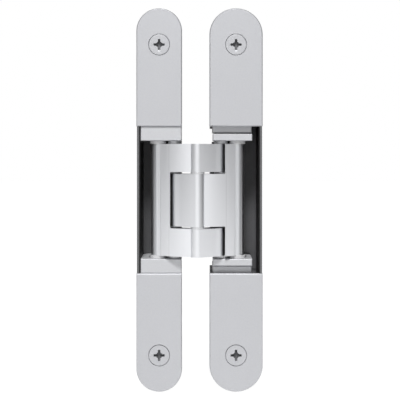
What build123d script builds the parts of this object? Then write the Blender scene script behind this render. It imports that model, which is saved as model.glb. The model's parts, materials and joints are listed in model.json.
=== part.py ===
"""Concealed door hinge with two crossed brackets, 200 mm long.

Millimetres. The origin is the centre of the frame leaf's front face. X runs across the
leaves with the frame leaf at the right, Y runs into the depth of the frame and of the
door, and Z is up. The hinge lies open at 180 degrees, so both front faces are in the
plane Y = 0.

The plan of the linkage is given from the centre pin's axis: x outwards into a leaf and y
into the depth. The C bracket turns on the frame's pivot pin and the T bracket on the
door's, they cross at the centre pin, and the outer eye of each is guided in a curved
groove of the other leaf's bearing blocks.
"""

import os
from math import atan2, cos, degrees, hypot, radians, sin, sqrt, tan

from build123d import *

os.makedirs("parts", exist_ok=True)

# Leaves
leaf_length = 200.0
frame_leaf_width = 27.8
door_leaf_width = 23.8
leaf_pitch = 40.1
leaf_gap_closed = 4.5
cover_thickness = 2.4
cover_chamfer = 0.5
body_inset = 0.3
rim_setback = 0.4

# Receiver castings
receiver_depth = 28.0
lug_depth = 13.0
pocket_end_wall = 14.0
back_wall = 1.8
side_wall = 1.1
mouth_depth = 11.4
chamber_gap = 0.5
web_gap = 0.9
liner_thickness = 0.5
liner_gap = 0.3
liner_hidden = 7.0

# Linkage in plan, with the door open at 180 degrees
pivot_x = 12.2
pivot_y = 7.0
centre_y = -3.6
eye_x = 21.0
eye_y = 6.4

# Brackets
bracket_half = 29.2
bracket_room = 1.7
middle_half = 13.65
washer_room = 1.0
step_x = 14.3
boss_radius = 3.6
arm_half_thick = 3.2
arm_root_x = 3.45
arm_root_y = -4.4
arm_tip_x = 18.7
arm_tip_y = 1.25
arm_crest_x = 21.3
arm_crest_y = 2.35
arm_flank = 0.4
arm_crown = 1.0
leg_end_radius = 2.4
leg_start_angle = 25
leg_crown = 0.3
leg_crease_inset = 4.5
leg_crease_y = -2.3
leg_crest_inset = 2.6
leg_crest_y = -1.2
leg_corner_y = 2.2
leg_round = 0.6
guide_eye_radius = 3.5
pivot_eye_radius = 3.65
relief_gap = 0.45
window_corner = 0.8
bracket_chamfer = 0.5

# Pins, bushes and glides
pin_radius = 2.2
bush_radius = 2.8
guide_pin_radius = 1.5
glide_radius = 2.4
glide_flange_radius = 4.2
sleeve_radius = 3.6
fit = 0.05
end_gap = 0.05
pin_chamfer = 0.3

# Bearing blocks and the frame side's slide bases
block_shown = 7.5
block_hidden = 11.6
block_front = 1.0
block_corner = 6.0
frame_block_room = 5.15
frame_block_lead = 1.55
frame_block_thick = 3.6
block_back_room = 2.4
block_chamfer = 0.35
groove_depth = 2.3
groove_gap = 0.1
groove_points = 9
pin_seat = 3.0
base_gap = 0.6
base_front = 5.0
base_hidden = 19.2
shoulder_hidden = 4.2
slide_gap = 0.2
side_travel = 1.4
height_travel = 3.0
tongue_width = 10.8
tongue_x = 15.6
tongue_lip = 4.5
tongue_thick = 3.2
nut_room = 2.6
side_clamp_inset = 6.6
height_clamp_edge = 4.5
height_clamp_inset = 11.9

# Fixing and clamp screws
screw_end_distance = 19.0
screw_radius = 3.0
screw_shank_radius = 2.2
screw_head_radius = 5.65
screw_head_angle = 90
screw_hole_radius = 3.35
screw_length = 45.0
screw_tip = 7.0
recess_span = 5.6
recess_arm = 1.15
recess_depth = 2.2
clamp_radius = 2.0
clamp_head_radius = 3.3
clamp_head_height = 2.6
clamp_hex = 2.9
clamp_hex_depth = 1.5
clamp_nut_across = 6.6
door_screw_x = (14.0, 22.5)
door_screw_inset = 6.6

# Heights from the middle that follow from the brackets' half height
window_half = middle_half + washer_room
block_start = bracket_half + bracket_room
block_top = block_start + frame_block_thick
base_start = block_top + base_gap
cover_edge = block_start + block_shown
liner_half = block_start - liner_gap
liner_side_half = cover_edge + liner_hidden
door_block_half = cover_edge + block_hidden
door_chamber_half = door_block_half + chamber_gap
shoulder_end = cover_edge + shoulder_hidden
base_end = cover_edge + base_hidden
frame_chamber_half = base_end + height_travel + chamber_gap
frame_web_half = block_start - height_travel - web_gap
frame_wall_end = block_top + height_travel + slide_gap
pocket_half_length = frame_chamber_half + pocket_end_wall
side_clamp_z = cover_edge + side_clamp_inset
tongue_end = side_clamp_z + tongue_lip
height_clamp_z = cover_edge + height_clamp_inset
door_screw_z = cover_edge + door_screw_inset
screw_pitch = leaf_length - 2 * screw_end_distance

# Places that follow from the sizes above
axis_x = -leaf_pitch / 2
frame_side = 1
door_side = -1
leaf_x = leaf_pitch / 2
chamber_back = receiver_depth - back_wall
seat_back = chamber_back - end_gap
liner_face = chamber_back - liner_thickness
block_back = chamber_back - block_back_room
tongue_back = chamber_back - nut_room
tongue_front = tongue_back - tongue_thick
relief_radius = pivot_eye_radius + relief_gap
leg_side = step_x - relief_gap
ends = {"upper": 1, "lower": -1}

# Swings of the linkage between fully open and closed
pivot_reach = hypot(pivot_x, pivot_y - centre_y)
closed_centre_y = -leaf_gap_closed / 2
closed_centre_x = pivot_x + sqrt(pivot_reach**2 - (pivot_y - closed_centre_y) ** 2)
open_bearing = degrees(atan2(centre_y - pivot_y, -pivot_x))
closed_bearing = degrees(atan2(closed_centre_y - pivot_y, closed_centre_x - pivot_x))
frame_swing = closed_bearing - open_bearing
cross_swing = 180.0 - frame_swing


def guide_point(share):
    """Place of a guided eye in its leaf, for a share of the swing from open to closed."""
    bearing = radians(open_bearing + share * frame_swing)
    turn = radians(share * cross_swing)
    arm_x, arm_y = eye_x, eye_y - centre_y
    return (
        pivot_x + pivot_reach * cos(bearing) + arm_x * cos(turn) - arm_y * sin(turn),
        pivot_y + pivot_reach * sin(bearing) + arm_x * sin(turn) + arm_y * cos(turn),
    )


def plan(z):
    """Horizontal plane at a height, with the centre pin's axis as its origin."""
    return Plane(origin=(axis_x, 0, z))


def front(depth):
    """Upright plane at a depth, seen from the front, with the axis at its origin."""
    return Plane(origin=(axis_x, depth, 0), x_dir=(1, 0, 0), z_dir=(0, -1, 0))


def outer_x(leaf_width):
    """Outer face of a receiver from the axis."""
    return leaf_x + leaf_width / 2 - body_inset


def inner_x(leaf_width):
    """Inner face of a receiver from the axis."""
    return leaf_x - leaf_width / 2 + body_inset


def rectangle(side, x_from, x_to, y_from, y_to):
    """Rectangle between two distances from the axis, on the given side."""
    with Locations((side * (x_from + x_to) / 2, (y_from + y_to) / 2)):
        Rectangle(x_to - x_from, y_to - y_from)


def both_ends(side, x_from, x_to, z_from, z_to):
    """The same rectangle at the upper and the lower end, in a front plane."""
    rectangle(side, x_from, x_to, z_from, z_to)
    rectangle(side, x_from, x_to, -z_to, -z_from)


def save(piece, label):
    """Names a finished piece and writes its file."""
    piece.label = label
    export_step(piece, f"parts/{label}.step")


def make_receiver(side, leaf_width, chamber_half, web_half, screw_spots):
    """Cast body: two end lugs and a deep chamber between them, open at the front."""
    outer, inner = outer_x(leaf_width), inner_x(leaf_width)
    width = outer - inner
    with BuildPart() as receiver:
        with BuildSketch(front(cover_thickness)):
            with Locations((side * leaf_x, 0)):
                SlotOverall(leaf_length - 2 * body_inset, width, rotation=90)
        extrude(amount=cover_thickness - lug_depth)
        with BuildSketch(front(cover_thickness)):
            with Locations((side * leaf_x, 0)):
                SlotOverall(2 * pocket_half_length, width, rotation=90)
        extrude(amount=cover_thickness - receiver_depth)
        # The outer wall comes forward between the two covers
        with BuildSketch(front(rim_setback)):
            rectangle(side, outer - side_wall, outer, -cover_edge + fit, cover_edge - fit)
        extrude(amount=rim_setback - lug_depth)
        # Chamber for the blocks and the folded brackets
        with BuildSketch(front(0)):
            rectangle(side, inner + side_wall, outer - side_wall, -chamber_half, chamber_half)
        extrude(amount=-chamber_back, mode=Mode.SUBTRACT)
        # Open mouth where the brackets leave the chamber
        with BuildSketch(front(0)):
            rectangle(side, inner - side_wall, outer - side_wall, -cover_edge, cover_edge)
        extrude(amount=-mouth_depth, mode=Mode.SUBTRACT)
        # Free way for the blocks beside the web that closes the chamber's inner side
        if web_half < block_start:
            with BuildSketch(front(0)):
                both_ends(side, inner - side_wall, inner + 2 * side_wall, web_half, frame_wall_end)
            extrude(amount=-receiver_depth, mode=Mode.SUBTRACT)
        # Clearance holes of the fixing screws
        with Locations(front(cover_thickness)):
            with Locations((side * leaf_x, screw_pitch / 2), (side * leaf_x, -screw_pitch / 2)):
                Hole(screw_hole_radius)
        # Threads of the screws that hold the blocks
        with Locations(front(0)):
            with Locations(screw_spots):
                Hole(clamp_radius + fit)
    return receiver


def clamp_spots(side, across, height):
    """Upper and lower places of screws across a leaf."""
    return [(side * x, end * height) for x in across for end in ends.values()]


def make_cover(side, leaf_width, end):
    """Flat end plate with one round end, a chamfered rim and a countersunk hole."""
    with BuildPart() as cover:
        with BuildSketch(front(0)):
            with Locations((side * leaf_x, 0)):
                SlotOverall(leaf_length, leaf_width, rotation=90)
            # Only the stretch beyond the cover's straight inner edge is kept
            with Locations((side * leaf_x, end * (cover_edge - leaf_length) / 2)):
                Rectangle(2 * leaf_width, leaf_length + cover_edge, mode=Mode.SUBTRACT)
        extrude(amount=-cover_thickness)
        chamfer(cover.faces().sort_by(Axis.Y)[0].edges(), cover_chamfer)
        with Locations(front(0)):
            with Locations((side * leaf_x, end * screw_pitch / 2)):
                CounterSinkHole(
                    screw_hole_radius,
                    screw_head_radius + fit,
                    counter_sink_angle=screw_head_angle,
                )
    return cover


def make_fixing_screws(side):
    """Two countersunk wood screws with a plain shank where they pass through the lugs."""
    cone = (screw_head_radius - screw_shank_radius) / tan(radians(screw_head_angle / 2))
    with BuildPart() as screws:
        for end in ends.values():
            axis_plane = Plane(
                origin=(axis_x + side * leaf_x, 0, end * screw_pitch / 2),
                x_dir=(1, 0, 0),
                z_dir=(0, 0, 1),
            )
            with BuildSketch(axis_plane) as half:
                with BuildLine():
                    Polyline(
                        (0, 0),
                        (screw_head_radius, 0),
                        (screw_shank_radius, cone),
                        (screw_shank_radius, lug_depth),
                        (screw_radius, lug_depth),
                        (screw_radius, screw_length - screw_tip),
                        (0, screw_length),
                        close=True,
                    )
                make_face()
            revolve(axis=Axis(axis_plane.origin, (0, 1, 0)))
        with BuildSketch(front(0)):
            with Locations(clamp_spots(side, [leaf_x], screw_pitch / 2)):
                Rectangle(recess_span, recess_arm)
                Rectangle(recess_arm, recess_span)
        extrude(amount=-recess_depth, taper=12, mode=Mode.SUBTRACT)
    return screws


def make_cap_screws(spots, head_depth, tip_depth):
    """Socket cap screws that point into the depth, with their heads at one depth."""
    with BuildPart() as screws:
        with BuildSketch(front(head_depth)):
            with Locations(spots):
                Circle(clamp_head_radius)
        extrude(amount=-clamp_head_height)
        with BuildSketch(front(head_depth + clamp_head_height)):
            with Locations(spots):
                Circle(clamp_radius)
        extrude(amount=head_depth + clamp_head_height - tip_depth)
        with BuildSketch(front(head_depth)):
            with Locations(spots):
                RegularPolygon(clamp_hex / 2, 6, major_radius=False)
        extrude(amount=-clamp_hex_depth, mode=Mode.SUBTRACT)
    return screws


def make_liner(side, leaf_width, strip_inner, strip_half):
    """Black pocket liner: a back plate, and strips that go on beside the blocks."""
    outer = outer_x(leaf_width) - side_wall - fit
    inner = inner_x(leaf_width) + side_wall + fit
    return_inner = outer - liner_thickness
    with BuildPart() as liner:
        with BuildSketch(plan(-liner_half)):
            rectangle(side, inner, outer, liner_face, seat_back)
        extrude(amount=2 * liner_half)
        with BuildSketch(plan(-strip_half)):
            rectangle(side, strip_inner, outer, liner_face, seat_back)
        extrude(amount=2 * strip_half)
        # Return along the outer wall, set back where the covers pass over it
        with BuildSketch(plan(fit - cover_edge)):
            rectangle(side, return_inner, outer, rim_setback + fit, seat_back)
        extrude(amount=2 * (cover_edge - fit))
        with BuildSketch(plan(-liner_side_half)):
            rectangle(side, return_inner, outer, cover_thickness + fit, seat_back)
        extrude(amount=2 * liner_side_half)
    return liner


def bracket_outline(side):
    """Plan of a bracket whose guided eye is on the given side."""
    centre = (0, centre_y)
    guided = (side * eye_x, eye_y)
    pivot = (-side * pivot_x, pivot_y)
    # Guided arm: a crowned front, a low crest, a round flank down to the eye and a straight rear
    root = (side * arm_root_x, arm_root_y)
    tip = (side * arm_tip_x, arm_tip_y)
    ridge = (side * arm_crest_x, arm_crest_y)
    flank_end = (side * (eye_x + guide_eye_radius), eye_y)
    arm_length = hypot(eye_x, eye_y - centre_y)
    rear_x = -side * arm_half_thick * (eye_y - centre_y) / arm_length
    rear_y = arm_half_thick * eye_x / arm_length
    with BuildLine() as arm:
        SagittaArc(root, tip, -side * arm_crown)
        Line(tip, ridge)
        SagittaArc(ridge, flank_end, -side * arm_flank)
        Polyline(
            flank_end,
            guided,
            (guided[0] + rear_x, guided[1] + rear_y),
            (centre[0] + rear_x, centre[1] + rear_y),
            root,
        )
    make_face(arm.edges())
    # Leg: a crowned front that ends in a low crest and a round shoulder
    turn = radians(leg_start_angle)
    start = (-side * boss_radius * sin(turn), centre_y - boss_radius * cos(turn))
    crease = (-side * (leg_side - leg_crease_inset), leg_crease_y)
    crest = (-side * (leg_side - leg_crest_inset), leg_crest_y)
    corner = (-side * leg_side, leg_corner_y)
    with BuildLine() as leg:
        SagittaArc(start, crease, side * leg_crown)
        Line(crease, crest)
        SagittaArc(crest, corner, side * leg_round)
        Polyline(corner, (-side * leg_side, pivot_y), centre, start)
    make_face(leg.edges())
    # The leg's rear: tangent to the boss, and slimmer where it meets the pivot eye
    leg_ends = Pos(*centre) * Circle(boss_radius, mode=Mode.PRIVATE)
    leg_ends += Pos(*pivot) * Circle(leg_end_radius, mode=Mode.PRIVATE)
    make_hull(leg_ends.edges())
    with Locations(centre):
        Circle(boss_radius)
    with Locations(guided):
        Circle(guide_eye_radius)
    with Locations(pivot):
        Circle(pivot_eye_radius)
    # Room for the other bracket's pivot eye, pin and sleeves
    with Locations((side * pivot_x, pivot_y)):
        Circle(relief_radius, mode=Mode.SUBTRACT)


def rear_edges(bracket, side):
    """Straight top and bottom edges of a bracket's guided arm."""
    edges = bracket.faces().filter_by(Axis.Z).edges().filter_by(GeomType.LINE)
    return [edge for edge in edges if side * (edge.center().X - axis_x) > boss_radius]


def bracket_bores(side):
    """Bores of the three eyes of a bracket, as circles of one plan sketch."""
    with Locations((0, centre_y), (-side * pivot_x, pivot_y)):
        Circle(bush_radius + fit)
    with Locations((side * eye_x, eye_y)):
        Circle(guide_pin_radius + fit)


def make_bar(spot, radius, half_length):
    """Plain round pin with chamfered ends, centred on the hinge's middle."""
    with BuildPart() as pin:
        with BuildSketch(plan(-half_length)):
            with Locations(spot):
                Circle(radius)
        extrude(amount=2 * half_length)
        chamfer(pin.edges().filter_by(GeomType.CIRCLE), pin_chamfer)
    return pin


def make_ring(spot, outer, bore, z_from, z_to):
    """Bush, washer or spacer sleeve between two heights."""
    with BuildPart() as ring:
        with BuildSketch(plan(min(z_from, z_to))):
            with Locations(spot):
                Circle(outer)
                Circle(bore, mode=Mode.SUBTRACT)
        extrude(amount=abs(z_to - z_from))
    return ring


def make_glide(side, end):
    """Flanged plastic glide on a guide pin's end: a flange, and a hub in the groove."""
    spot = (side * eye_x, eye_y)
    flange_from = bracket_half + end_gap
    flange_to = block_start - end_gap
    with BuildPart() as glide:
        with BuildSketch(plan(end * flange_from)):
            with Locations(spot):
                Circle(glide_flange_radius)
        extrude(amount=end * (flange_to - flange_from))
        with BuildSketch(plan(end * flange_to)):
            with Locations(spot):
                Circle(glide_radius)
        extrude(amount=end * (groove_depth - end_gap))
        with BuildSketch(plan(end * flange_from)):
            with Locations(spot):
                Circle(guide_pin_radius + fit)
        extrude(amount=end * (flange_to - flange_from + groove_depth), mode=Mode.SUBTRACT)
    return glide


def guide_groove(side):
    """Plan of the curved groove that an outer eye's glide follows."""
    places = [guide_point(step / (groove_points - 1)) for step in range(groove_points)]
    places = [(side * x, y) for x, y in places]
    half_width = glide_radius + groove_gap
    trace(Edge.make_spline(places), 2 * half_width)
    with Locations(places[0], places[-1]):
        Circle(half_width)


def pivot_seat(side):
    """Plan of the seat that a pivot pin's end stands in."""
    with Locations((side * pivot_x, pivot_y)):
        Circle(pin_radius + fit)


# Widths of the blocks and of the frame side's slide bases, from the receivers' faces
door_block_outer = outer_x(door_leaf_width) - side_wall - liner_thickness - fit - slide_gap
door_block_inner = inner_x(door_leaf_width)
door_block_wall = door_block_inner + side_wall + fit
frame_block_outer = outer_x(frame_leaf_width) - frame_block_room
frame_block_inner = inner_x(frame_leaf_width) + frame_block_lead
base_inner = inner_x(frame_leaf_width) + side_wall + slide_gap
base_outer = outer_x(frame_leaf_width) - side_wall - liner_thickness - fit - slide_gap
height_clamp_x = base_outer - height_clamp_edge

# Receivers with the threads of their clamp screws
height_spots = clamp_spots(frame_side, [height_clamp_x], height_clamp_z)
frame_receiver = make_receiver(
    frame_side, frame_leaf_width, frame_chamber_half, frame_web_half, height_spots
)
save(frame_receiver.part, "frame_receiver")

door_spots = clamp_spots(door_side, door_screw_x, door_screw_z)
door_receiver = make_receiver(
    door_side, door_leaf_width, door_chamber_half, block_start, door_spots
)
save(door_receiver.part, "door_receiver")

# Pocket liners: their strips clear the slide bases and the rounded corners of the door's blocks
corner_reach = sqrt(liner_thickness * (2 * block_corner - liner_thickness))
door_strip = door_block_outer - block_corner + corner_reach + slide_gap
frame_strip = frame_block_outer + slide_gap
frame_strip_half = shoulder_end - height_travel - slide_gap
door_liner = make_liner(door_side, door_leaf_width, door_strip, liner_side_half)
save(door_liner.part, "door_liner")
frame_liner = make_liner(frame_side, frame_leaf_width, frame_strip, frame_strip_half)
save(frame_liner.part, "frame_liner")

# Covers and fixing screws
for name, side, leaf_width in (
    ("frame", frame_side, frame_leaf_width),
    ("door", door_side, door_leaf_width),
):
    save(make_fixing_screws(side).part, f"{name}_fixing_screws")
    for end_name, end in ends.items():
        save(make_cover(side, leaf_width, end).part, f"{name}_cover_{end_name}")

# Door side's bearing blocks, seated on the back wall and held by cap screws
cover_room = cover_thickness + fit
for end_name, end in ends.items():
    with BuildPart() as door_block:
        with BuildSketch(plan(end * block_start)) as outline:
            rectangle(door_side, door_block_inner, door_block_outer, block_front, mouth_depth - fit)
            rectangle(door_side, door_block_wall, door_block_outer, block_front, seat_back)
            fillet(outline.vertices().sort_by_distance((0, 0))[-1], block_corner)
        extrude(amount=end * (door_block_half - block_start))
        with BuildSketch(front(0)):
            rectangle(
                door_side,
                door_block_inner - side_wall,
                door_block_outer + side_wall,
                *sorted((end * (cover_edge - fit), end * (door_block_half + side_wall))),
            )
        extrude(amount=-cover_room, mode=Mode.SUBTRACT)
        with BuildSketch(front(0)):
            rectangle(
                door_side,
                door_block_inner - side_wall,
                door_block_wall,
                *sorted((end * (cover_edge - fit), end * (door_block_half + side_wall))),
            )
        extrude(amount=-receiver_depth, mode=Mode.SUBTRACT)
        chamfer(door_block.faces().sort_by(Axis.Y)[0].edges(), block_chamfer)
        with BuildSketch(plan(end * block_start)):
            guide_groove(door_side)
        extrude(amount=end * groove_depth, mode=Mode.SUBTRACT)
        with BuildSketch(plan(end * block_start)):
            pivot_seat(door_side)
        extrude(amount=end * pin_seat, mode=Mode.SUBTRACT)
        with Locations(front(cover_room)):
            with Locations([(door_side * x, end * door_screw_z) for x in door_screw_x]):
                CounterBoreHole(clamp_radius + fit, clamp_head_radius + fit, clamp_head_height + end_gap)
    save(door_block.part, f"door_bearing_block_{end_name}")
door_screws = make_cap_screws(door_spots, cover_room, receiver_depth)
save(door_screws.part, "door_block_screws")

# Frame side's bearing blocks: a plate behind the brackets' ends with a tongue for its clamp screw
for end_name, end in ends.items():
    with BuildPart() as frame_block:
        with BuildSketch(plan(end * block_start)) as outline:
            rectangle(frame_side, frame_block_inner, frame_block_outer, block_front, block_back)
            fillet(outline.vertices().sort_by_distance((0, 0))[-1], block_corner)
        extrude(amount=end * frame_block_thick)
        chamfer(frame_block.faces().sort_by(Axis.Y)[0].edges(), block_chamfer)
        with BuildSketch(plan(end * block_top)):
            rectangle(
                frame_side,
                tongue_x - tongue_width / 2,
                tongue_x + tongue_width / 2,
                tongue_front,
                tongue_back,
            )
        extrude(amount=end * (tongue_end - block_top))
        with BuildSketch(plan(end * block_start)):
            guide_groove(frame_side)
        extrude(amount=end * groove_depth, mode=Mode.SUBTRACT)
        with BuildSketch(plan(end * block_start)):
            pivot_seat(frame_side)
        extrude(amount=end * pin_seat, mode=Mode.SUBTRACT)
        with BuildSketch(front(tongue_front)):
            with Locations((frame_side * tongue_x, end * side_clamp_z)):
                SlotCenterToCenter(2 * side_travel, 2 * (clamp_radius + slide_gap))
        extrude(amount=tongue_front - tongue_back, mode=Mode.SUBTRACT)
    save(frame_block.part, f"frame_bearing_block_{end_name}")

# Slide bases that carry them, clamped to the receiver's back wall through long slots
tongue_room = tongue_width / 2 + side_travel + slide_gap
for end_name, end in ends.items():
    with BuildPart() as slide_base:
        with BuildSketch(front(base_front)):
            rectangle(frame_side, base_inner, frame_block_outer, *sorted((end * base_start, end * base_end)))
            rectangle(frame_side, base_inner, base_outer, *sorted((end * shoulder_end, end * base_end)))
        extrude(amount=base_front - seat_back)
        chamfer(slide_base.faces().sort_by(Axis.Y)[0].edges(), block_chamfer)
        # Channel for the tongue and its nut, open at the back and towards the block
        with BuildSketch(plan(end * base_start)):
            rectangle(
                frame_side,
                tongue_x - tongue_room,
                tongue_x + tongue_room,
                tongue_front - slide_gap,
                chamber_back,
            )
        extrude(amount=end * (tongue_end + slide_gap - base_start), mode=Mode.SUBTRACT)
        with Locations(front(base_front)):
            with Locations((frame_side * tongue_x, end * side_clamp_z)):
                CounterBoreHole(clamp_radius + fit, clamp_head_radius + fit, clamp_head_height + fit)
        # Long slot and head seat of the height clamp screw
        with BuildSketch(front(base_front)):
            with Locations((frame_side * height_clamp_x, end * height_clamp_z)):
                SlotCenterToCenter(2 * height_travel, 2 * (clamp_head_radius + slide_gap), rotation=90)
        extrude(amount=-clamp_head_height, mode=Mode.SUBTRACT)
        with BuildSketch(front(base_front)):
            with Locations((frame_side * height_clamp_x, end * height_clamp_z)):
                SlotCenterToCenter(2 * height_travel, 2 * (clamp_radius + slide_gap), rotation=90)
        extrude(amount=-receiver_depth, mode=Mode.SUBTRACT)
    save(slide_base.part, f"frame_slide_base_{end_name}")

side_spots = clamp_spots(frame_side, [tongue_x], side_clamp_z)
side_screws = make_cap_screws(side_spots, base_front, seat_back)
save(side_screws.part, "frame_side_clamp_screws")
height_screws = make_cap_screws(height_spots, base_front - fit, receiver_depth)
save(height_screws.part, "frame_height_clamp_screws")

with BuildPart() as side_nuts:
    with BuildSketch(front(tongue_back + fit)):
        with Locations(side_spots):
            RegularPolygon(clamp_nut_across / 2, 6, major_radius=False)
            Circle(clamp_radius + fit, mode=Mode.SUBTRACT)
    extrude(amount=tongue_back + fit - seat_back)
save(side_nuts.part, "frame_side_clamp_nuts")

# C bracket: two arms that pass above and below the T bracket, joined at the door side
with BuildPart() as c_bracket:
    with BuildSketch(plan(-bracket_half)):
        bracket_outline(door_side)
    extrude(amount=2 * bracket_half)
    chamfer(rear_edges(c_bracket, door_side), bracket_chamfer)
    with BuildSketch(front(receiver_depth)) as window:
        rectangle(door_side, -leaf_x, step_x, -window_half, window_half)
        fillet(window.vertices(), window_corner)
    extrude(amount=2 * receiver_depth, mode=Mode.SUBTRACT)
    with BuildSketch(plan(-bracket_half)):
        bracket_bores(door_side)
    extrude(amount=2 * bracket_half, mode=Mode.SUBTRACT)
save(c_bracket.part, "c_bracket")

# T bracket: one middle part that widens to full height at the frame side
with BuildPart() as t_bracket:
    with BuildSketch(plan(-bracket_half)):
        bracket_outline(frame_side)
    extrude(amount=2 * bracket_half)
    chamfer(rear_edges(t_bracket, frame_side), bracket_chamfer)
    with BuildSketch(front(receiver_depth)) as shoulders:
        both_ends(frame_side, -leaf_x, step_x, middle_half, bracket_half + window_corner)
        fillet(shoulders.vertices(), window_corner / 2)
    extrude(amount=2 * receiver_depth, mode=Mode.SUBTRACT)
    with BuildSketch(plan(-bracket_half)):
        bracket_bores(frame_side)
    extrude(amount=2 * bracket_half, mode=Mode.SUBTRACT)
save(t_bracket.part, "t_bracket")

# Centre pin, its bush in the T bracket and the washers between the brackets
centre_spot = (0, centre_y)
centre_pin = make_bar(centre_spot, pin_radius, bracket_half - end_gap)
save(centre_pin.part, "centre_pin")
centre_bush = make_ring(centre_spot, bush_radius, pin_radius + fit, -middle_half, middle_half)
save(centre_bush.part, "centre_bush")
for end_name, end in ends.items():
    arm_bush = make_ring(
        centre_spot, bush_radius, pin_radius + fit, end * window_half, end * (bracket_half - end_gap)
    )
    save(arm_bush.part, f"centre_arm_bush_{end_name}")
    washer = make_ring(
        centre_spot,
        boss_radius,
        pin_radius + fit,
        end * (middle_half + end_gap),
        end * (window_half - end_gap),
    )
    save(washer.part, f"centre_washer_{end_name}")

# Pivot pins that stand from block to block
pin_half = block_start + pin_seat - end_gap
frame_pivot = (frame_side * pivot_x, pivot_y)
door_pivot = (door_side * pivot_x, pivot_y)
save(make_bar(frame_pivot, pin_radius, pin_half).part, "frame_pivot_pin")
save(make_bar(door_pivot, pin_radius, pin_half).part, "door_pivot_pin")

# Frame pivot: a bush in each end eye, a washer beyond it and one sleeve between the two
for end_name, end in ends.items():
    bush = make_ring(
        frame_pivot, bush_radius, pin_radius + fit, end * window_half, end * (bracket_half - end_gap)
    )
    save(bush.part, f"frame_pivot_bush_{end_name}")
    washer = make_ring(
        frame_pivot,
        sleeve_radius,
        pin_radius + fit,
        end * (bracket_half + end_gap),
        end * (block_start - end_gap),
    )
    save(washer.part, f"frame_pivot_washer_{end_name}")
sleeve_half = window_half - end_gap
frame_sleeve = make_ring(frame_pivot, sleeve_radius, pin_radius + fit, -sleeve_half, sleeve_half)
save(frame_sleeve.part, "frame_pivot_sleeve")

# Door pivot: one bush in the middle eye and a sleeve above and below it
door_bush = make_ring(door_pivot, bush_radius, pin_radius + fit, -middle_half, middle_half)
save(door_bush.part, "door_pivot_bush")
for end_name, end in ends.items():
    sleeve = make_ring(
        door_pivot,
        sleeve_radius,
        pin_radius + fit,
        end * (middle_half + end_gap),
        end * (block_start - end_gap),
    )
    save(sleeve.part, f"door_pivot_sleeve_{end_name}")

# Guide pins through the outer eyes, with a flanged glide on each end
guide_half = block_start + groove_depth - 2 * end_gap
for name, side in (("frame", frame_side), ("door", door_side)):
    guide_pin = make_bar((side * eye_x, eye_y), guide_pin_radius, guide_half)
    save(guide_pin.part, f"{name}_guide_pin")
    for end_name, end in ends.items():
        save(make_glide(side, end).part, f"{name}_glide_{end_name}")
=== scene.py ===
import json
import math

import bmesh
import bpy
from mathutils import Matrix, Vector


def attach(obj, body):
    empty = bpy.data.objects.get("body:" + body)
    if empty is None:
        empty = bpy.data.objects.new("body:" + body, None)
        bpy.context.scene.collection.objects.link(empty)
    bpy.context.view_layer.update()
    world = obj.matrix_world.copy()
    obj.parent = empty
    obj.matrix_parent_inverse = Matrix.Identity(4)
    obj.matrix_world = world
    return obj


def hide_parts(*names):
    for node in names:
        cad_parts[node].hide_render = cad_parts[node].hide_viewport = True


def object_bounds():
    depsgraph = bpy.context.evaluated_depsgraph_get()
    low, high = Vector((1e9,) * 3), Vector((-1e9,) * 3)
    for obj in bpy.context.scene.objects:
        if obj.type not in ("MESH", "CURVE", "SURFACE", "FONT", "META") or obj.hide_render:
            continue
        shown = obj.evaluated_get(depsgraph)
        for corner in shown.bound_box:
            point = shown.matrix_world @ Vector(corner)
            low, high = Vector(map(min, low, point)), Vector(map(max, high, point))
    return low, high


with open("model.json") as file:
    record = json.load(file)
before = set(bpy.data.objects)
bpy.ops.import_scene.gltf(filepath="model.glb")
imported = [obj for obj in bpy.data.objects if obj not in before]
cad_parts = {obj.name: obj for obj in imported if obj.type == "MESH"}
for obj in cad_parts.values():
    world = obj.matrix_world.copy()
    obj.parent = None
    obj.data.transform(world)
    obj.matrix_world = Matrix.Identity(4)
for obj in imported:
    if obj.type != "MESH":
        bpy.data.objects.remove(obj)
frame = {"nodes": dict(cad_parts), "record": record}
cad_box = [list(corner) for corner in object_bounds()]
MM = 0.001

# Sizes shared with the part, in millimetres. The frame's side and the upper end count as 1, the
# door's side and the lower end as -1
axis_x = -20.05
leaf_x = 20.05
half_length = 100.0
cover_half_width = {1: 13.9, -1: 11.9}
body_inset = 0.3
receiver_depth = 28.0
pocket_half_length = 75.1
screw_z = 81.0
countersink_radius = 5.7
shank_radius = 2.2
thread_radius = 3.0
lug_depth = 13.0
screw_length = 45.0
linkage_axes = ((0.0, -3.6), (21.0, 6.4), (-21.0, 6.4), (12.2, 7.0), (-12.2, 7.0))

# Heads of the fixing screws and the groove round them, in millimetres
head_radius = 5.36
head_drop = 0.06
rim_radius = 5.68
rim_depth = 0.6

# Recess of a fixing screw: a cross over a diamond, in millimetres, then the size of each of its
# steps as a share of that outline, with the step's depth in millimetres
cross_half = 0.58
cross_end = 2.6
diamond = 2.0
recess_steps = ((0.36, 2.2), (0.8, 2.1), (1.02, 0.6), (1.1, 0.12), (1.14, 0.06))

# Outline of a fixing screw, in millimetres: for the rim and side of its head the distance inside
# its radius and below its top, for its shank, core and point the radius and the depth
head_rings = ((0.75, 0.0), (0.12, 0.0), (0.03, 0.03), (0.0, 0.12), (0.02, 0.69))
cone_end = head_radius - shank_radius + head_drop
core_radius = shank_radius - 0.15
point_length = 8.0
shank_rings = (
    (shank_radius + 0.15, cone_end - 0.1),
    (shank_radius, cone_end + 0.3),
    (shank_radius, lug_depth),
    (core_radius, lug_depth + 0.6),
    (core_radius, screw_length - point_length),
    (shank_radius - 0.6, screw_length - 4.5),
    (0.3, screw_length - 0.25),
)

# Points round a fixing screw, and the angle in degrees from which its edges are sharp
screw_points = 96
screw_sharp = 32.0

# Threads of the fixing screws, in millimetres: their ridge, the radius where it ends at the tip,
# their pitch, where they start behind the lug and what they leave free of the screw's length
ridge_radius = 0.55
tip_radius = 0.4
thread_pitch = 2.6
thread_gap = 1.0
thread_rest = 1.6

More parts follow.
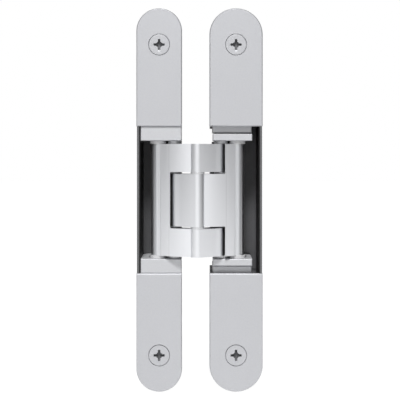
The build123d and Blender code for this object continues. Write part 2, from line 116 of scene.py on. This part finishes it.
# Sides of a thread's ridge and points in each of its turns
ridge_sides = 3
turn_points = 28

# Crests along the arm and the leg of each bracket: the arm's side, and for both the distances from
# the middle where they start and end, how soft they are and how far back they reach, in millimetres
arm_side = {"c_bracket": -1, "t_bracket": 1}
arm_crest = (16.0, 23.8, 0.8, 6.0)
leg_crest = (7.0, 13.0, 0.45, 2.0)

# How a crest is softened: the distance between its cuts, in millimetres, the digits that a height
# keeps, the steps to each side that it is averaged over, and how far a face has to look forward
crest_pitch = 0.3
crest_digits = 4
crest_steps = 4
forward = 0.2

# Taper of the door receiver's inner side: the depth where it starts, and its depth at the back
taper_start = 2.4
taper = 0.45

# Round edges by finish, in millimetres, with their steps, and the angles in degrees from which an
# edge is sharp and up to which two faces are joined into one
edge_widths = {
    "satin_cover": 0.18,
    "cast_body": 0.35,
    "bright_steel": 0.38,
    "bracket_steel": 0.3,
    "black_plastic": 0.15,
    "pin_steel": 0.12,
    "black_steel": 0.12,
    "glide_plastic": 0.15,
    "bush_bronze": 0.08,
}
edge_steps = 2
sharp_edge = 28.0
flat_joint = 0.4

# Arcs that are split more finely: radii in metres, turns between two points in degrees, cuts
smallest_arc = 0.001
largest_arc = 0.0142
arc_turns = (3.0, 46.0)
arc_cuts = 3

# Slack for points that should meet, in metres, and the smallest number that is divided by
weld_slack = 0.000002
cut_slack = 0.000001
arc_slack = 0.000004
rim_slack = 0.00003
smallest_divisor = 0.0001

# Where painted shade darkens the brackets: depths beside the legs and the distances from the middle
# where that ends, depths on the arms' flanks and their share, and depths where both end, in millimetres
gap_depths = (-1.2, 0.5)
gap_reach = (14.9, 15.3)
flank_depths = (2.4, 3.6)
flank_share = 0.6
painted_shade_end = (4.4, 6.4)

# Painted shade in the crease beside the boss of the T bracket: where it starts and ends on the boss's
# side, its edge, its heights, in millimetres, and its share
crease_sides = (0.6, 2.9)
crease_edge = (2.95, 3.15)
crease_heights = (14.5, 14.6)
crease_share = 0.7

# Depths between which a screw's recess and its shank start, with painted shade on the recess and the
# head's side between them, and the distances from the back of the frame's liner between which the
# lining gets paler than the black painted shade on its return, in millimetres
recess_depths = (0.062, 0.1)
shank_depths = (4.0, 6.0)
lining_marks = (0.9, 0.6)
lining_back = max(vert.co.y for vert in frame["nodes"]["frame_liner"].data.vertices) / MM

# Grain of the finishes: a scale gives features of one over it, in metres, and a detail is the
# number of finer layers. The noise's values that count lie in its span
noise_span = (0.3, 0.7)
plain_detail = 2.0
cloud_scale = 45.0
cloud_detail = 3.0
line_scale = 1.0
line_detail = 3.0
plastic_grain = 1800.0
plastic_gloss = 260.0
screw_grain = 1400.0
screw_detail = 3.0

# Blasted metal: the most of its clouds and how much lighter they are, and the scales of its gloss
# and relief as shares of its grain's
cloud_share = 0.35
cloud_lift = 1.04
gloss_share = 0.6
relief_share = 1.3

# Reliefs of the finishes, as a strength and a height in metres, and how rough a screw's recess is
satin_relief = (0.1, 0.000006)
steel_relief = (0.12, 0.00002)
plastic_relief = (0.15, 0.00003)
lining_relief = (0.1, 0.00002)
screw_relief = (0.1, 0.00001)
recess_roughness = 0.85

# Photograph's view: the camera's place, the middle and the width of the picture in the plane of
# the covers' front and the sensor's width, in millimetres, and what is near enough, in metres
view_distance = 440.0
view_x = -17.0
view_z = 26.0
picture_x = -18.8
picture_width = 208.4
sensor = 36.0
view_limits = (0.01, 20.0)

# Studio light: its colour and levels by direction, and the lamp's place and size in metres and its
# power in watts
white = (1.0, 1.0, 1.0, 1.0)
front_aim = (-0.1, -1.0, 0.08)
front_focus = 5.5
front_level = 0.92
side_level = 0.02
top_level = 0.02
back_level = 0.4
key_place = (-0.05, -0.6, 0.92)
key_size = 0.2
key_power = 9.8

# Floor: half its width in metres, how far it is below the hinge in millimetres, and its colours
floor_reach = 3.0
floor_drop = 3.4
floor_grey = (0.8, 0.8, 0.8, 1.0)
floor_faint = (0.15, 0.15, 0.15, 1.0)
floor_white = 0.985


# Nodes
def wire(tree, kind, links=None, **settings):
    """A node with its settings, and its inputs linked or given a value."""
    node = tree.nodes.new(kind)
    for key, value in settings.items():
        setattr(node, key, value)
    for key, value in (links or {}).items():
        if isinstance(value, bpy.types.NodeSocket):
            tree.links.new(value, node.inputs[key])
        else:
            node.inputs[key].default_value = value
    return node


def maths(tree, operation, *values):
    """One sum on values that may be numbers or links."""
    return wire(tree, "ShaderNodeMath", dict(enumerate(values)), operation=operation).outputs[0]


def noise(tree, place, scale, detail=plain_detail):
    """Grey noise with features of one over the scale, in metres."""
    texture = wire(tree, "ShaderNodeTexNoise", {"Vector": place, "Scale": scale, "Detail": detail})
    return texture.outputs["Fac"]


def ranged(tree, value, start, end, low, high):
    """A value between two marks carried over to a range."""
    return wire(tree, "ShaderNodeMapRange", {
        "Value": value, "From Min": start, "From Max": end, "To Min": low, "To Max": high,
    }).outputs["Result"]


def spread(tree, value, low, high):
    """Noise values carried over to a range."""
    return ranged(tree, value, *noise_span, low, high)


def ramp(tree, value, start, end, low, high):
    """A length in metres carried over to a range, between two marks in millimetres."""
    return ranged(tree, value, start * MM, end * MM, low, high)


def by_depth(tree, place, start, end):
    """Zero in front of a depth, one behind another depth, both in millimetres."""
    parts = wire(tree, "ShaderNodeSeparateXYZ", {"Vector": place})
    return ramp(tree, parts.outputs["Y"], start, end, 0.0, 1.0)


def tint(tree, colour, value, other):
    """Two colours mixed by a value; either may be a colour or a link."""
    one, two = (c if isinstance(c, bpy.types.NodeSocket) else (*c, 1.0) for c in (colour, other))
    mix = wire(tree, "ShaderNodeMix", {"A": one, "B": two, "Factor": value}, data_type="RGBA")
    return mix.outputs["Result"]


# Finishes
def start_material(name, colour, metallic, roughness):
    """A material with its plain values, its tree, its shader and object coordinates."""
    material = bpy.data.materials.new(name)
    material.use_nodes = True
    tree = material.node_tree
    shader = tree.nodes["Principled BSDF"]
    shader.inputs["Base Color"].default_value = (*colour, 1.0)
    shader.inputs["Metallic"].default_value = metallic
    shader.inputs["Roughness"].default_value = roughness
    return material, tree, shader, tree.nodes.new("ShaderNodeTexCoord").outputs["Object"]


def dressed(tree, shader, colour, gloss, height, relief):
    """Gives a shader its colour, its gloss and a small relief."""
    strength, distance = relief
    bump = wire(tree, "ShaderNodeBump", {"Strength": strength, "Distance": distance, "Height": height})
    tree.links.new(colour, shader.inputs["Base Color"])
    tree.links.new(gloss, shader.inputs["Roughness"])
    tree.links.new(bump.outputs["Normal"], shader.inputs["Normal"])


def painted_shade_inward(tree, place):
    """Mask of painted shade: zero on the front of the brackets, one beside the legs, less on the flanks
    and in a crease.
    """
    parts = wire(tree, "ShaderNodeSeparateXYZ", {"Vector": place})
    side = maths(tree, "SUBTRACT", parts.outputs["X"], axis_x * MM)
    height = maths(tree, "ABSOLUTE", parts.outputs["Z"])
    reach = ramp(tree, maths(tree, "ABSOLUTE", side), *gap_reach, 1.0, 0.0)
    gaps = maths(tree, "MULTIPLY", by_depth(tree, place, *gap_depths), reach)
    flanks = maths(tree, "MULTIPLY", by_depth(tree, place, *flank_depths), flank_share)
    crease = ramp(tree, side, *crease_sides, 0.0, crease_share)
    for value, marks in ((side, crease_edge), (height, crease_heights)):
        crease = maths(tree, "MULTIPLY", crease, ramp(tree, value, *marks, 1.0, 0.0))
    most = maths(tree, "MAXIMUM", maths(tree, "MAXIMUM", gaps, flanks), crease)
    return maths(tree, "MINIMUM", most, maths(tree, "SUBTRACT", 1.0, by_depth(tree, place, *painted_shade_end)))


def satin_coating(name, dark, light, metallic, rough_low, rough_high, grain, inner=None):
    """Blasted metal: fine speckle and grain, and faint clouds or painted shade on its inner side."""
    material, tree, shader, place = start_material(name, light, metallic, rough_high)
    colour = tint(tree, dark, spread(tree, noise(tree, place, grain), 0.0, 1.0), light)
    # painted shade: the inner colour darkens the brackets beside the legs, on the flanks and in a crease
    if inner:
        colour = tint(tree, colour, painted_shade_inward(tree, place), inner)
    else:
        cloud = spread(tree, noise(tree, place, cloud_scale, cloud_detail), 0.0, cloud_share)
        colour = tint(tree, colour, cloud, tuple(min(1.0, c * cloud_lift) for c in light))
    gloss = spread(tree, noise(tree, place, grain * gloss_share), rough_low, rough_high)
    dressed(tree, shader, colour, gloss, noise(tree, place, grain * relief_share), satin_relief)
    return material


def ground_steel(name, dark, light, metallic, rough_low, rough_high, scale):
    """Ground steel: fine lines along one way, in its colour, gloss and relief."""
    material, tree, shader, place = start_material(name, light, metallic, rough_high)
    stretched = wire(tree, "ShaderNodeMapping", {"Vector": place, "Scale": scale})
    lines = noise(tree, stretched.outputs["Vector"], line_scale, line_detail)
    colour = tint(tree, dark, spread(tree, lines, 0.0, 1.0), light)
    dressed(tree, shader, colour, spread(tree, lines, rough_low, rough_high), lines, steel_relief)
    return material


def moulded_plastic(name, dark, light, rough_low, rough_high, painted_return_shade=None):
    """Moulded plastic with a fine grain; as a pocket's lining, black painted shade on the return beside
    its back.
    """
    material, tree, shader, place = start_material(name, light, 0.0, rough_high)
    grain = noise(tree, place, plastic_grain)
    colour = tint(tree, dark, spread(tree, grain, 0.0, 1.0), light)
    if painted_return_shade:
        # painted shade: black on the liner's return, the lining's own colour from near its back on
        paler = by_depth(tree, place, *(lining_back - mark for mark in lining_marks))
        colour = tint(tree, painted_return_shade, paler, colour)
    gloss = spread(tree, noise(tree, place, plastic_gloss), rough_low, rough_high)
    dressed(tree, shader, colour, gloss, grain, lining_relief if painted_return_shade else plastic_relief)
    return material


def coated_screw(name, dark, light, inner, metallic, rough_low, rough_high):
    """Coated screw with a fine grain, and painted shade and duller metal down in its recess and round
    its head's side.
    """
    material, tree, shader, place = start_material(name, light, metallic, rough_high)
    grain = noise(tree, place, screw_grain, screw_detail)
    plain = tint(tree, dark, spread(tree, grain, 0.0, 1.0), light)
    recess, shank = by_depth(tree, place, *recess_depths), by_depth(tree, place, *shank_depths)
    # painted shade: the dark inner colour from the recess's rim down past the head's side, light again
    # on the shank
    colour = tint(tree, tint(tree, plain, recess, inner), shank, light)
    rough = maths(tree, "MULTIPLY", maths(tree, "SUBTRACT", recess, shank), recess_roughness)
    gloss = maths(tree, "MAXIMUM", spread(tree, grain, rough_low, rough_high), rough)
    dressed(tree, shader, colour, gloss, grain, screw_relief)
    return material


# Values of each finish: its maker, dark and light colour, then what the maker asks for
finish_values = {
    "satin_cover": (satin_coating, (0.61, 0.616, 0.642), (0.635, 0.641, 0.667), 0.5, 0.38, 0.46, 1100.0),
    "cast_body": (satin_coating, (0.15, 0.152, 0.158), (0.18, 0.182, 0.188), 0.5, 0.42, 0.55, 900.0),
    "bright_steel": (satin_coating, (0.65, 0.657, 0.68), (0.68, 0.687, 0.71), 0.2, 0.34, 0.42, 1200.0),
    # The brackets' last colour is painted shade beside the legs, on the flanks and in the T bracket's
    # crease
    "bracket_steel": (
        satin_coating, (0.9, 0.911, 0.938), (0.915, 0.926, 0.953), 0.9, 0.34, 0.37, 3200.0,
        (0.32, 0.325, 0.336),
    ),
    "black_steel": (satin_coating, (0.045, 0.046, 0.05), (0.065, 0.066, 0.07), 0.3, 0.38, 0.5, 1300.0),
    "pin_steel": (
        ground_steel, (0.74, 0.748, 0.765), (0.79, 0.798, 0.815), 0.3, 0.26, 0.36,
        (2600.0, 2600.0, 160.0),
    ),
    "bush_bronze": (
        ground_steel, (0.55, 0.44, 0.26), (0.68, 0.55, 0.34), 0.9, 0.35, 0.5, (1200.0, 1200.0, 500.0),
    ),
    # The screws' third colour is painted shade in the recess and round the head's side
    "screw_steel": (
        coated_screw, (0.61, 0.616, 0.642), (0.635, 0.641, 0.667), (0.26, 0.263, 0.275), 0.5, 0.38, 0.46,
    ),
    # The lining's last colour is black painted shade on its return beside the back
    "black_plastic": (
        moulded_plastic, (0.115, 0.115, 0.121), (0.13, 0.13, 0.136), 0.45, 0.58, (0.004, 0.004, 0.0045),
    ),
    "glide_plastic": (moulded_plastic, (0.70, 0.70, 0.71), (0.75, 0.75, 0.76), 0.25, 0.35),
}
finishes = {slot: coat(slot, *values) for slot, (coat, *values) in finish_values.items()}

# Axes of the round shapes: along Y at the leaves' ends, along Z in the linkage, in millimetres
arc_axes = []
for leaf_side, half_width in cover_half_width.items():
    for end in (1, -1):
        middle = axis_x + leaf_side * leaf_x
        arc_axes.append(("Y", middle, end * (half_length - half_width)))
        arc_axes.append(("Y", middle, end * (pocket_half_length - half_width + body_inset)))
        arc_axes.append(("Y", middle, end * screw_z))
for x, y in linkage_axes:
    arc_axes.append(("Z", axis_x + x, y))

# Finish and body of each CAD node
slot_of = {s["node"]: s["material_slot"] for s in frame["record"]["subparts"]}
body_of = {n: b for b, ns in frame["record"]["behaviour"]["bodies"].items() for n in ns}


# Pieces
def new_piece(name, mesh, slot, body, *nodes):
    """A piece at the origin with its finish, riding on its body in place of its CAD nodes."""
    mesh.name = name
    mesh.materials.clear()
    mesh.materials.append(finishes[slot])
    piece = bpy.data.objects.new(name, mesh)
    bpy.context.scene.collection.objects.link(piece)
    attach(piece, body)
    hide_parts(*nodes)


def worked_out(maker):
    """Plain mesh of an object with its modifiers carried out; the object is removed."""
    view = bpy.context.evaluated_depsgraph_get()
    mesh = bpy.data.meshes.new_from_object(maker.evaluated_get(view), depsgraph=view)
    used = maker.data
    bpy.data.objects.remove(maker)
    bpy.data.meshes.remove(used)
    return mesh


def finer_arcs(shape, along, a, b):
    """Splits the arcs about an axis more finely, and sets the new points out on the arc."""
    u, v, w = (0, 2, 1) if along == "Y" else (0, 1, 2)
    a, b = a * MM, b * MM
    reach = shape.verts.layers.float.new("reach")
    for vert in shape.verts:
        vert[reach] = math.hypot(vert.co[u] - a, vert.co[v] - b)
    arcs = []
    for edge in shape.edges:
        start, end = edge.verts
        radius = start[reach]
        if abs(start.co[w] - end.co[w]) > arc_slack or abs(radius - end[reach]) > arc_slack:
            continue
        if smallest_arc < radius < largest_arc:
            turn = 2 * math.asin(min(1.0, edge.calc_length() / (2 * radius)))
            if arc_turns[0] < math.degrees(turn) < arc_turns[1]:
                arcs.append(edge)
    known = set(shape.verts)
    if arcs:
        bmesh.ops.subdivide_edges(shape, edges=arcs, cuts=arc_cuts, use_grid_fill=True)
    for vert in shape.verts:
        if vert not in known:
            grow = vert[reach] / math.hypot(vert.co[u] - a, vert.co[v] - b)
            vert.co[u] = a + (vert.co[u] - a) * grow
            vert.co[v] = b + (vert.co[v] - b) * grow
    shape.verts.layers.float.remove(reach)


def deeper_rims(shape):
    """Narrow groove round the screws' heads: the countersinks' rims go straight in first."""
    for side, end in ((1, 1), (1, -1), (-1, 1), (-1, -1)):
        x, z = (axis_x + side * leaf_x) * MM, end * screw_z * MM

        def away(vert):
            return math.hypot(vert.co.x - x, vert.co.z - z)

        reach = countersink_radius * MM + rim_slack
        cone = [face for face in shape.faces if all(away(vert) < reach for vert in face.verts)]
        edges = {edge for face in cone for edge in face.edges}
        verts = {vert for face in cone for vert in face.verts}
        cut = bmesh.ops.bisect_plane(
            shape, geom=[*verts, *edges, *cone], dist=cut_slack,
            plane_co=(0.0, rim_depth * MM, 0.0), plane_no=(0.0, 1.0, 0.0)
        )["geom_cut"]
        rim = [v for v in verts if v.is_valid and abs(away(v) - countersink_radius * MM) < rim_slack]
        for vert in rim + [part for part in cut if isinstance(part, bmesh.types.BMVert)]:
            grow = rim_radius * MM / away(vert)
            vert.co.x = x + (vert.co.x - x) * grow
            vert.co.z = z + (vert.co.z - z) * grow


def soft_crest(shape, side, start, end, soft, back):
    """Rolls the crests on the front of a bracket into soft curves over their whole height."""
    for k in range(round((end - start) / crest_pitch) + 1):
        x = (axis_x + side * (start + k * crest_pitch)) * MM
        bmesh.ops.bisect_plane(
            shape, geom=[*shape.verts, *shape.edges, *shape.faces], dist=cut_slack,
            plane_co=(x, 0.0, 0.0), plane_no=(1.0, 0.0, 0.0)
        )
    shape.normal_update()
    front = set()
    for face in shape.faces:
        if face.normal.y < -forward and face.calc_center_median().y < back * MM:
            front.update(face.verts)
    away = {vert: side * (vert.co.x / MM - axis_x) for vert in front}
    places = ((away[vert], vert.co.y / MM) for vert in front)
    line = sorted({(round(x, crest_digits), round(y, crest_digits)) for x, y in places})

    def height(x):
        for (x_a, y_a), (x_b, y_b) in zip(line, line[1:]):
            if x_a <= x <= x_b:
                return y_a + (y_b - y_a) * (x - x_a) / max(x_b - x_a, smallest_divisor)
        return line[-1][1]

    heights = {}
    for vert, x in away.items():
        if start < x < end:
            reach = min(soft, x - start, end - x)
            near = [height(x + reach * k / crest_steps) for k in range(-crest_steps, crest_steps + 1)]
            heights[vert] = sum(near) / len(near) * MM
    for vert, y in heights.items():
        vert.co.y = y


def tapered(shape):
    """Leans the inner side of the door receiver in toward its back."""
    flank = max(vert.co.x for vert in shape.verts)
    for vert in shape.verts:
        inward = taper * max(0.0, vert.co.y / MM - taper_start) / (receiver_depth - taper_start)
        vert.co.x = min(vert.co.x, flank - inward * MM)


def broken_edges(node, width):
    """A CAD node's shape with whole faces, fine arcs and its sharp edges rounded off."""
    mesh = frame["nodes"][node].data.copy()
    shape = bmesh.new()
    shape.from_mesh(mesh)
    bmesh.ops.remove_doubles(shape, verts=shape.verts, dist=weld_slack)
    bmesh.ops.dissolve_limit(
        shape, angle_limit=math.radians(flat_joint), verts=shape.verts, edges=shape.edges
    )
    for axis in arc_axes:
        finer_arcs(shape, *axis)
    if node == "door_receiver":
        tapered(shape)
    if slot_of[node] == "satin_cover":
        deeper_rims(shape)
    if node in arm_side:
        soft_crest(shape, arm_side[node], *arm_crest)
        soft_crest(shape, -arm_side[node], *leg_crest)
    for face in shape.faces:
        face.smooth = True
    shape.to_mesh(mesh)
    shape.free()
    if mesh.has_custom_normals:
        mesh.attributes.remove(mesh.attributes["custom_normal"])
    maker = bpy.data.objects.new("maker", mesh)
    bpy.context.scene.collection.objects.link(maker)
    rounding = maker.modifiers.new("rounding", "BEVEL")
    rounding.width = width * MM
    rounding.segments = edge_steps
    rounding.limit_method = "ANGLE"
    rounding.angle_limit = math.radians(sharp_edge)
    rounding.harden_normals = True
    return worked_out(maker)


for node, slot in slot_of.items():
    if slot in edge_widths:
        mesh = broken_edges(node, edge_widths[slot])
        new_piece(f"{node}_finished", mesh, slot, body_of[node], node)


# Fixing screws: a lathed screw with a star recess, set at both ends of a leaf
def star_radius(angle):
    """Outline of the recess: a cross with four plain arms over a smaller diamond."""
    across, along = sorted((abs(math.cos(angle)), abs(math.sin(angle))))
    cross = min(cross_end / along, cross_half / max(across, smallest_divisor))
    return max(min(cross, cross_end), diamond / (across + along))


def lathed_screw(name):
    """Head with a recess, shank, core and point, as rings of points round the screw's axis."""
    angles = [2 * math.pi * k / screw_points for k in range(screw_points)]
    outline = [([share * star_radius(a) for a in angles], depth) for share, depth in recess_steps]
    for inside, below in head_rings:
        outline.append(([head_radius - inside] * screw_points, head_drop + below))
    for radius, depth in shank_rings:
        outline.append(([radius] * screw_points, depth))
    shape = bmesh.new()
    rings = []
    for reach, depth in outline:
        rings.append([
            shape.verts.new(Vector((math.cos(a) * r, math.sin(a) * r, -depth)) * MM)
            for a, r in zip(angles, reach)
        ])
    for upper, lower in zip(rings, rings[1:]):
        for k in range(screw_points):
            after = (k + 1) % screw_points
            shape.faces.new((upper[k], lower[k], lower[after], upper[after]))
    shape.faces.new(rings[0])
    shape.faces.new(rings[-1])
    bmesh.ops.recalc_face_normals(shape, faces=shape.faces)
    for face in shape.faces:
        face.smooth = True
    mesh = bpy.data.meshes.new(name)
    shape.to_mesh(mesh)
    shape.free()
    mesh.set_sharp_from_angle(angle=math.radians(screw_sharp))
    screw = bpy.data.objects.new(name, mesh)
    bpy.context.scene.collection.objects.link(screw)
    return screw


def screw_row_tree():
    """Tree that threads a screw and sets it at each place of a row along Z."""
    tree = bpy.data.node_groups.new("screw_row", "GeometryNodeTree")
    lengths = (
        "Spacing", "Across", "Thread Radius", "Thread Start", "Thread Length", "Pitch", "Point Length"
    )
    interface = tree.interface
    interface.new_socket("Geometry", in_out="OUTPUT", socket_type="NodeSocketGeometry")
    interface.new_socket("Screw", in_out="INPUT", socket_type="NodeSocketObject")
    interface.new_socket("Finish", in_out="INPUT", socket_type="NodeSocketMaterial")
    for label in lengths:
        interface.new_socket(label, in_out="INPUT", socket_type="NodeSocketFloat")
    given = tree.nodes.new("NodeGroupInput").outputs

    def vector(x, y, z):
        return wire(tree, "ShaderNodeCombineXYZ", {"X": x, "Y": y, "Z": z}).outputs[0]

    def joined(one, other):
        join = wire(tree, "GeometryNodeJoinGeometry")
        tree.links.new(one, join.inputs[0])
        tree.links.new(other, join.inputs[0])
        return join.outputs[0]

    def coil(end_radius, length):
        turns = maths(tree, "DIVIDE", length, given["Pitch"])
        return wire(tree, "GeometryNodeCurveSpiral", {
            "Resolution": turn_points, "Rotations": turns, "Start Radius": crest,
            "End Radius": end_radius, "Height": length,
        }).outputs["Curve"]

    crest = maths(tree, "SUBTRACT", given["Thread Radius"], ridge_radius * MM)
    body_length = maths(tree, "SUBTRACT", given["Thread Length"], given["Point Length"])
    ridge = wire(tree, "GeometryNodeCurvePrimitiveCircle", {
        "Resolution": ridge_sides, "Radius": ridge_radius * MM,
    })
    point = wire(tree, "GeometryNodeTransform", {
        "Geometry": coil(tip_radius * MM, given["Point Length"]),
        "Translation": vector(0.0, 0.0, body_length),
    })
    ridges = wire(tree, "GeometryNodeCurveToMesh", {
        "Curve": joined(coil(crest, body_length), point.outputs[0]),
        "Profile Curve": ridge.outputs["Curve"],
        "Fill Caps": True,
    })
    turned = wire(tree, "GeometryNodeTransform", {
        "Geometry": ridges.outputs["Mesh"],
        "Translation": vector(0.0, 0.0, maths(tree, "MULTIPLY", given["Thread Start"], -1.0)),
        "Rotation": (math.pi, 0.0, 0.0),
    })
    source = wire(tree, "GeometryNodeObjectInfo", {"Object": given["Screw"]})
    row = wire(tree, "GeometryNodeMeshLine", {
        "Count": 2,
        "Start Location": vector(given["Across"], 0.0, maths(tree, "MULTIPLY", given["Spacing"], -0.5)),
        "Offset": vector(0.0, 0.0, given["Spacing"]),
    })
    placed = wire(tree, "GeometryNodeInstanceOnPoints", {
        "Points": row.outputs["Mesh"],
        "Instance": joined(source.outputs["Geometry"], turned.outputs[0]),
        "Rotation": (math.pi / 2, 0.0, 0.0),
    })
    real = wire(tree, "GeometryNodeRealizeInstances", {"Geometry": placed.outputs["Instances"]})
    finish = wire(tree, "GeometryNodeSetMaterial", {
        "Geometry": real.outputs["Geometry"], "Material": given["Finish"],
    })
    tree.links.new(finish.outputs["Geometry"], tree.nodes.new("NodeGroupOutput").inputs[0])
    return tree


def grown(tree, name, values):
    """Plain mesh that a tree makes from named values."""
    maker = bpy.data.objects.new(name, bpy.data.meshes.new(name))
    bpy.context.scene.collection.objects.link(maker)
    grower = maker.modifiers.new("grower", "NODES")
    grower.node_group = tree
    for item in tree.interface.items_tree:
        if item.item_type == "SOCKET" and item.in_out == "INPUT" and item.name in values:
            grower[item.identifier] = values[item.name]
    return worked_out(maker)


screw = lathed_screw("screw_pattern")
row_tree = screw_row_tree()
for leaf, side in (("frame", 1), ("door", -1)):
    mesh = grown(row_tree, f"{leaf}_screws", {
        "Screw": screw,
        "Finish": finishes["screw_steel"],
        "Spacing": 2 * screw_z * MM,
        "Across": (axis_x + side * leaf_x) * MM,
        "Thread Radius": thread_radius * MM,
        "Thread Start": (lug_depth + thread_gap) * MM,
        "Thread Length": (screw_length - lug_depth - thread_rest) * MM,
        "Pitch": thread_pitch * MM,
        "Point Length": point_length * MM,
    })
    new_piece(f"{leaf}_wood_screws", mesh, "screw_steel", f"{leaf}_leaf", f"{leaf}_fixing_screws")
bpy.data.objects.remove(screw)

# CAD nodes that keep their own shape take their finish
for node, solid in frame["nodes"].items():
    if not solid.hide_render:
        for holder in solid.material_slots:
            holder.link = "OBJECT"
            holder.material = finishes[slot_of[node]]


# Floor, light and view
def white_to(tree, rays, plain, pale):
    """A shader that the named kinds of rays see as another, paler one."""
    path = tree.nodes.new("ShaderNodeLightPath")
    seen = path.outputs[rays[0]]
    for label in rays[1:]:
        seen = maths(tree, "MAXIMUM", seen, path.outputs[label])
    return wire(tree, "ShaderNodeMixShader", {"Fac": seen, 1: plain, 2: pale}).outputs[0]


def make_floor():
    """Pale floor that keeps a soft shadow, just below the door leaf at its lowest adjustment."""
    height = cad_box[0][2] - floor_drop * MM
    mesh = bpy.data.meshes.new("floor")
    corners = ((-1, -1), (1, -1), (1, 1), (-1, 1))
    points = [(x * floor_reach, y * floor_reach, height) for x, y in corners]
    mesh.from_pydata(points, [], [(0, 1, 2, 3)])
    floor = bpy.data.objects.new("floor", mesh)
    bpy.context.scene.collection.objects.link(floor)
    material = bpy.data.materials.new("pale_floor")
    material.use_nodes = True
    tree = material.node_tree
    tree.nodes.remove(tree.nodes["Principled BSDF"])
    plain = wire(tree, "ShaderNodeBsdfDiffuse", {"Color": floor_grey})
    faint = wire(tree, "ShaderNodeBsdfDiffuse", {"Color": floor_faint})
    lift = wire(tree, "ShaderNodeEmission", {"Color": white, "Strength": floor_white})
    pale = wire(tree, "ShaderNodeAddShader", {0: faint.outputs[0], 1: lift.outputs[0]})
    rays = ("Is Camera Ray", "Is Glossy Ray", "Is Transmission Ray")
    seen = white_to(tree, rays, plain.outputs[0], pale.outputs[0])
    tree.links.new(seen, tree.nodes["Material Output"].inputs["Surface"])
    mesh.materials.append(material)


def make_world():
    """Studio light that is strongest from the front, weaker from behind and faint all round."""
    world = bpy.data.worlds.new("studio")
    world.use_nodes = True
    tree = world.node_tree
    tree.nodes.clear()
    place = tree.nodes.new("ShaderNodeTexCoord").outputs["Generated"]
    aim = Vector(front_aim).normalized()
    toward = wire(tree, "ShaderNodeVectorMath", {0: place, 1: aim}, operation="DOT_PRODUCT")
    toward = maths(tree, "MAXIMUM", toward.outputs["Value"], 0.0)
    parts = wire(tree, "ShaderNodeSeparateXYZ", {"Vector": place})
    level = maths(tree, "MULTIPLY", maths(tree, "POWER", toward, front_focus), front_level)
    level = maths(tree, "ADD", level, side_level)
    for axis, share in (("Z", top_level), ("Y", back_level)):
        way = maths(tree, "MAXIMUM", parts.outputs[axis], 0.0)
        level = maths(tree, "ADD", level, maths(tree, "MULTIPLY", way, share))
    plain = wire(tree, "ShaderNodeBackground", {"Color": white, "Strength": level})
    pale = wire(tree, "ShaderNodeBackground", {"Color": white, "Strength": 1.0})
    seen = white_to(tree, ("Is Camera Ray",), plain.outputs[0], pale.outputs[0])
    wire(tree, "ShaderNodeOutputWorld", {"Surface": seen})
    bpy.context.scene.world = world


def make_lamp(name, place, size, power):
    """Square soft lamp that faces the middle of the hinge."""
    data = bpy.data.lights.new(name, "AREA")
    data.size = size
    data.energy = power
    lamp = bpy.data.objects.new(name, data)
    lamp.location = place
    aim = Vector((axis_x * MM, 0.0, 0.0)) - lamp.location
    lamp.rotation_euler = aim.to_track_quat("-Z", "Y").to_euler()
    bpy.context.scene.collection.objects.link(lamp)


def make_camera():
    """Level view straight at the front, from above the middle, framed as the photograph is."""
    data = bpy.data.cameras.new("camera")
    data.sensor_width = sensor
    data.lens = sensor * view_distance / picture_width
    data.shift_x = (picture_x - view_x) / picture_width
    data.shift_y = -view_z / picture_width
    data.clip_start, data.clip_end = view_limits
    camera = bpy.data.objects.new("camera", data)
    camera.location = Vector((view_x, -view_distance, view_z)) * MM
    camera.rotation_euler = (math.pi / 2, 0.0, 0.0)
    bpy.context.scene.collection.objects.link(camera)
    bpy.context.scene.camera = camera


make_floor()
make_world()
make_lamp("key_lamp", key_place, key_size, key_power)
make_camera()
bpy.context.scene.view_settings.view_transform = "Standard"
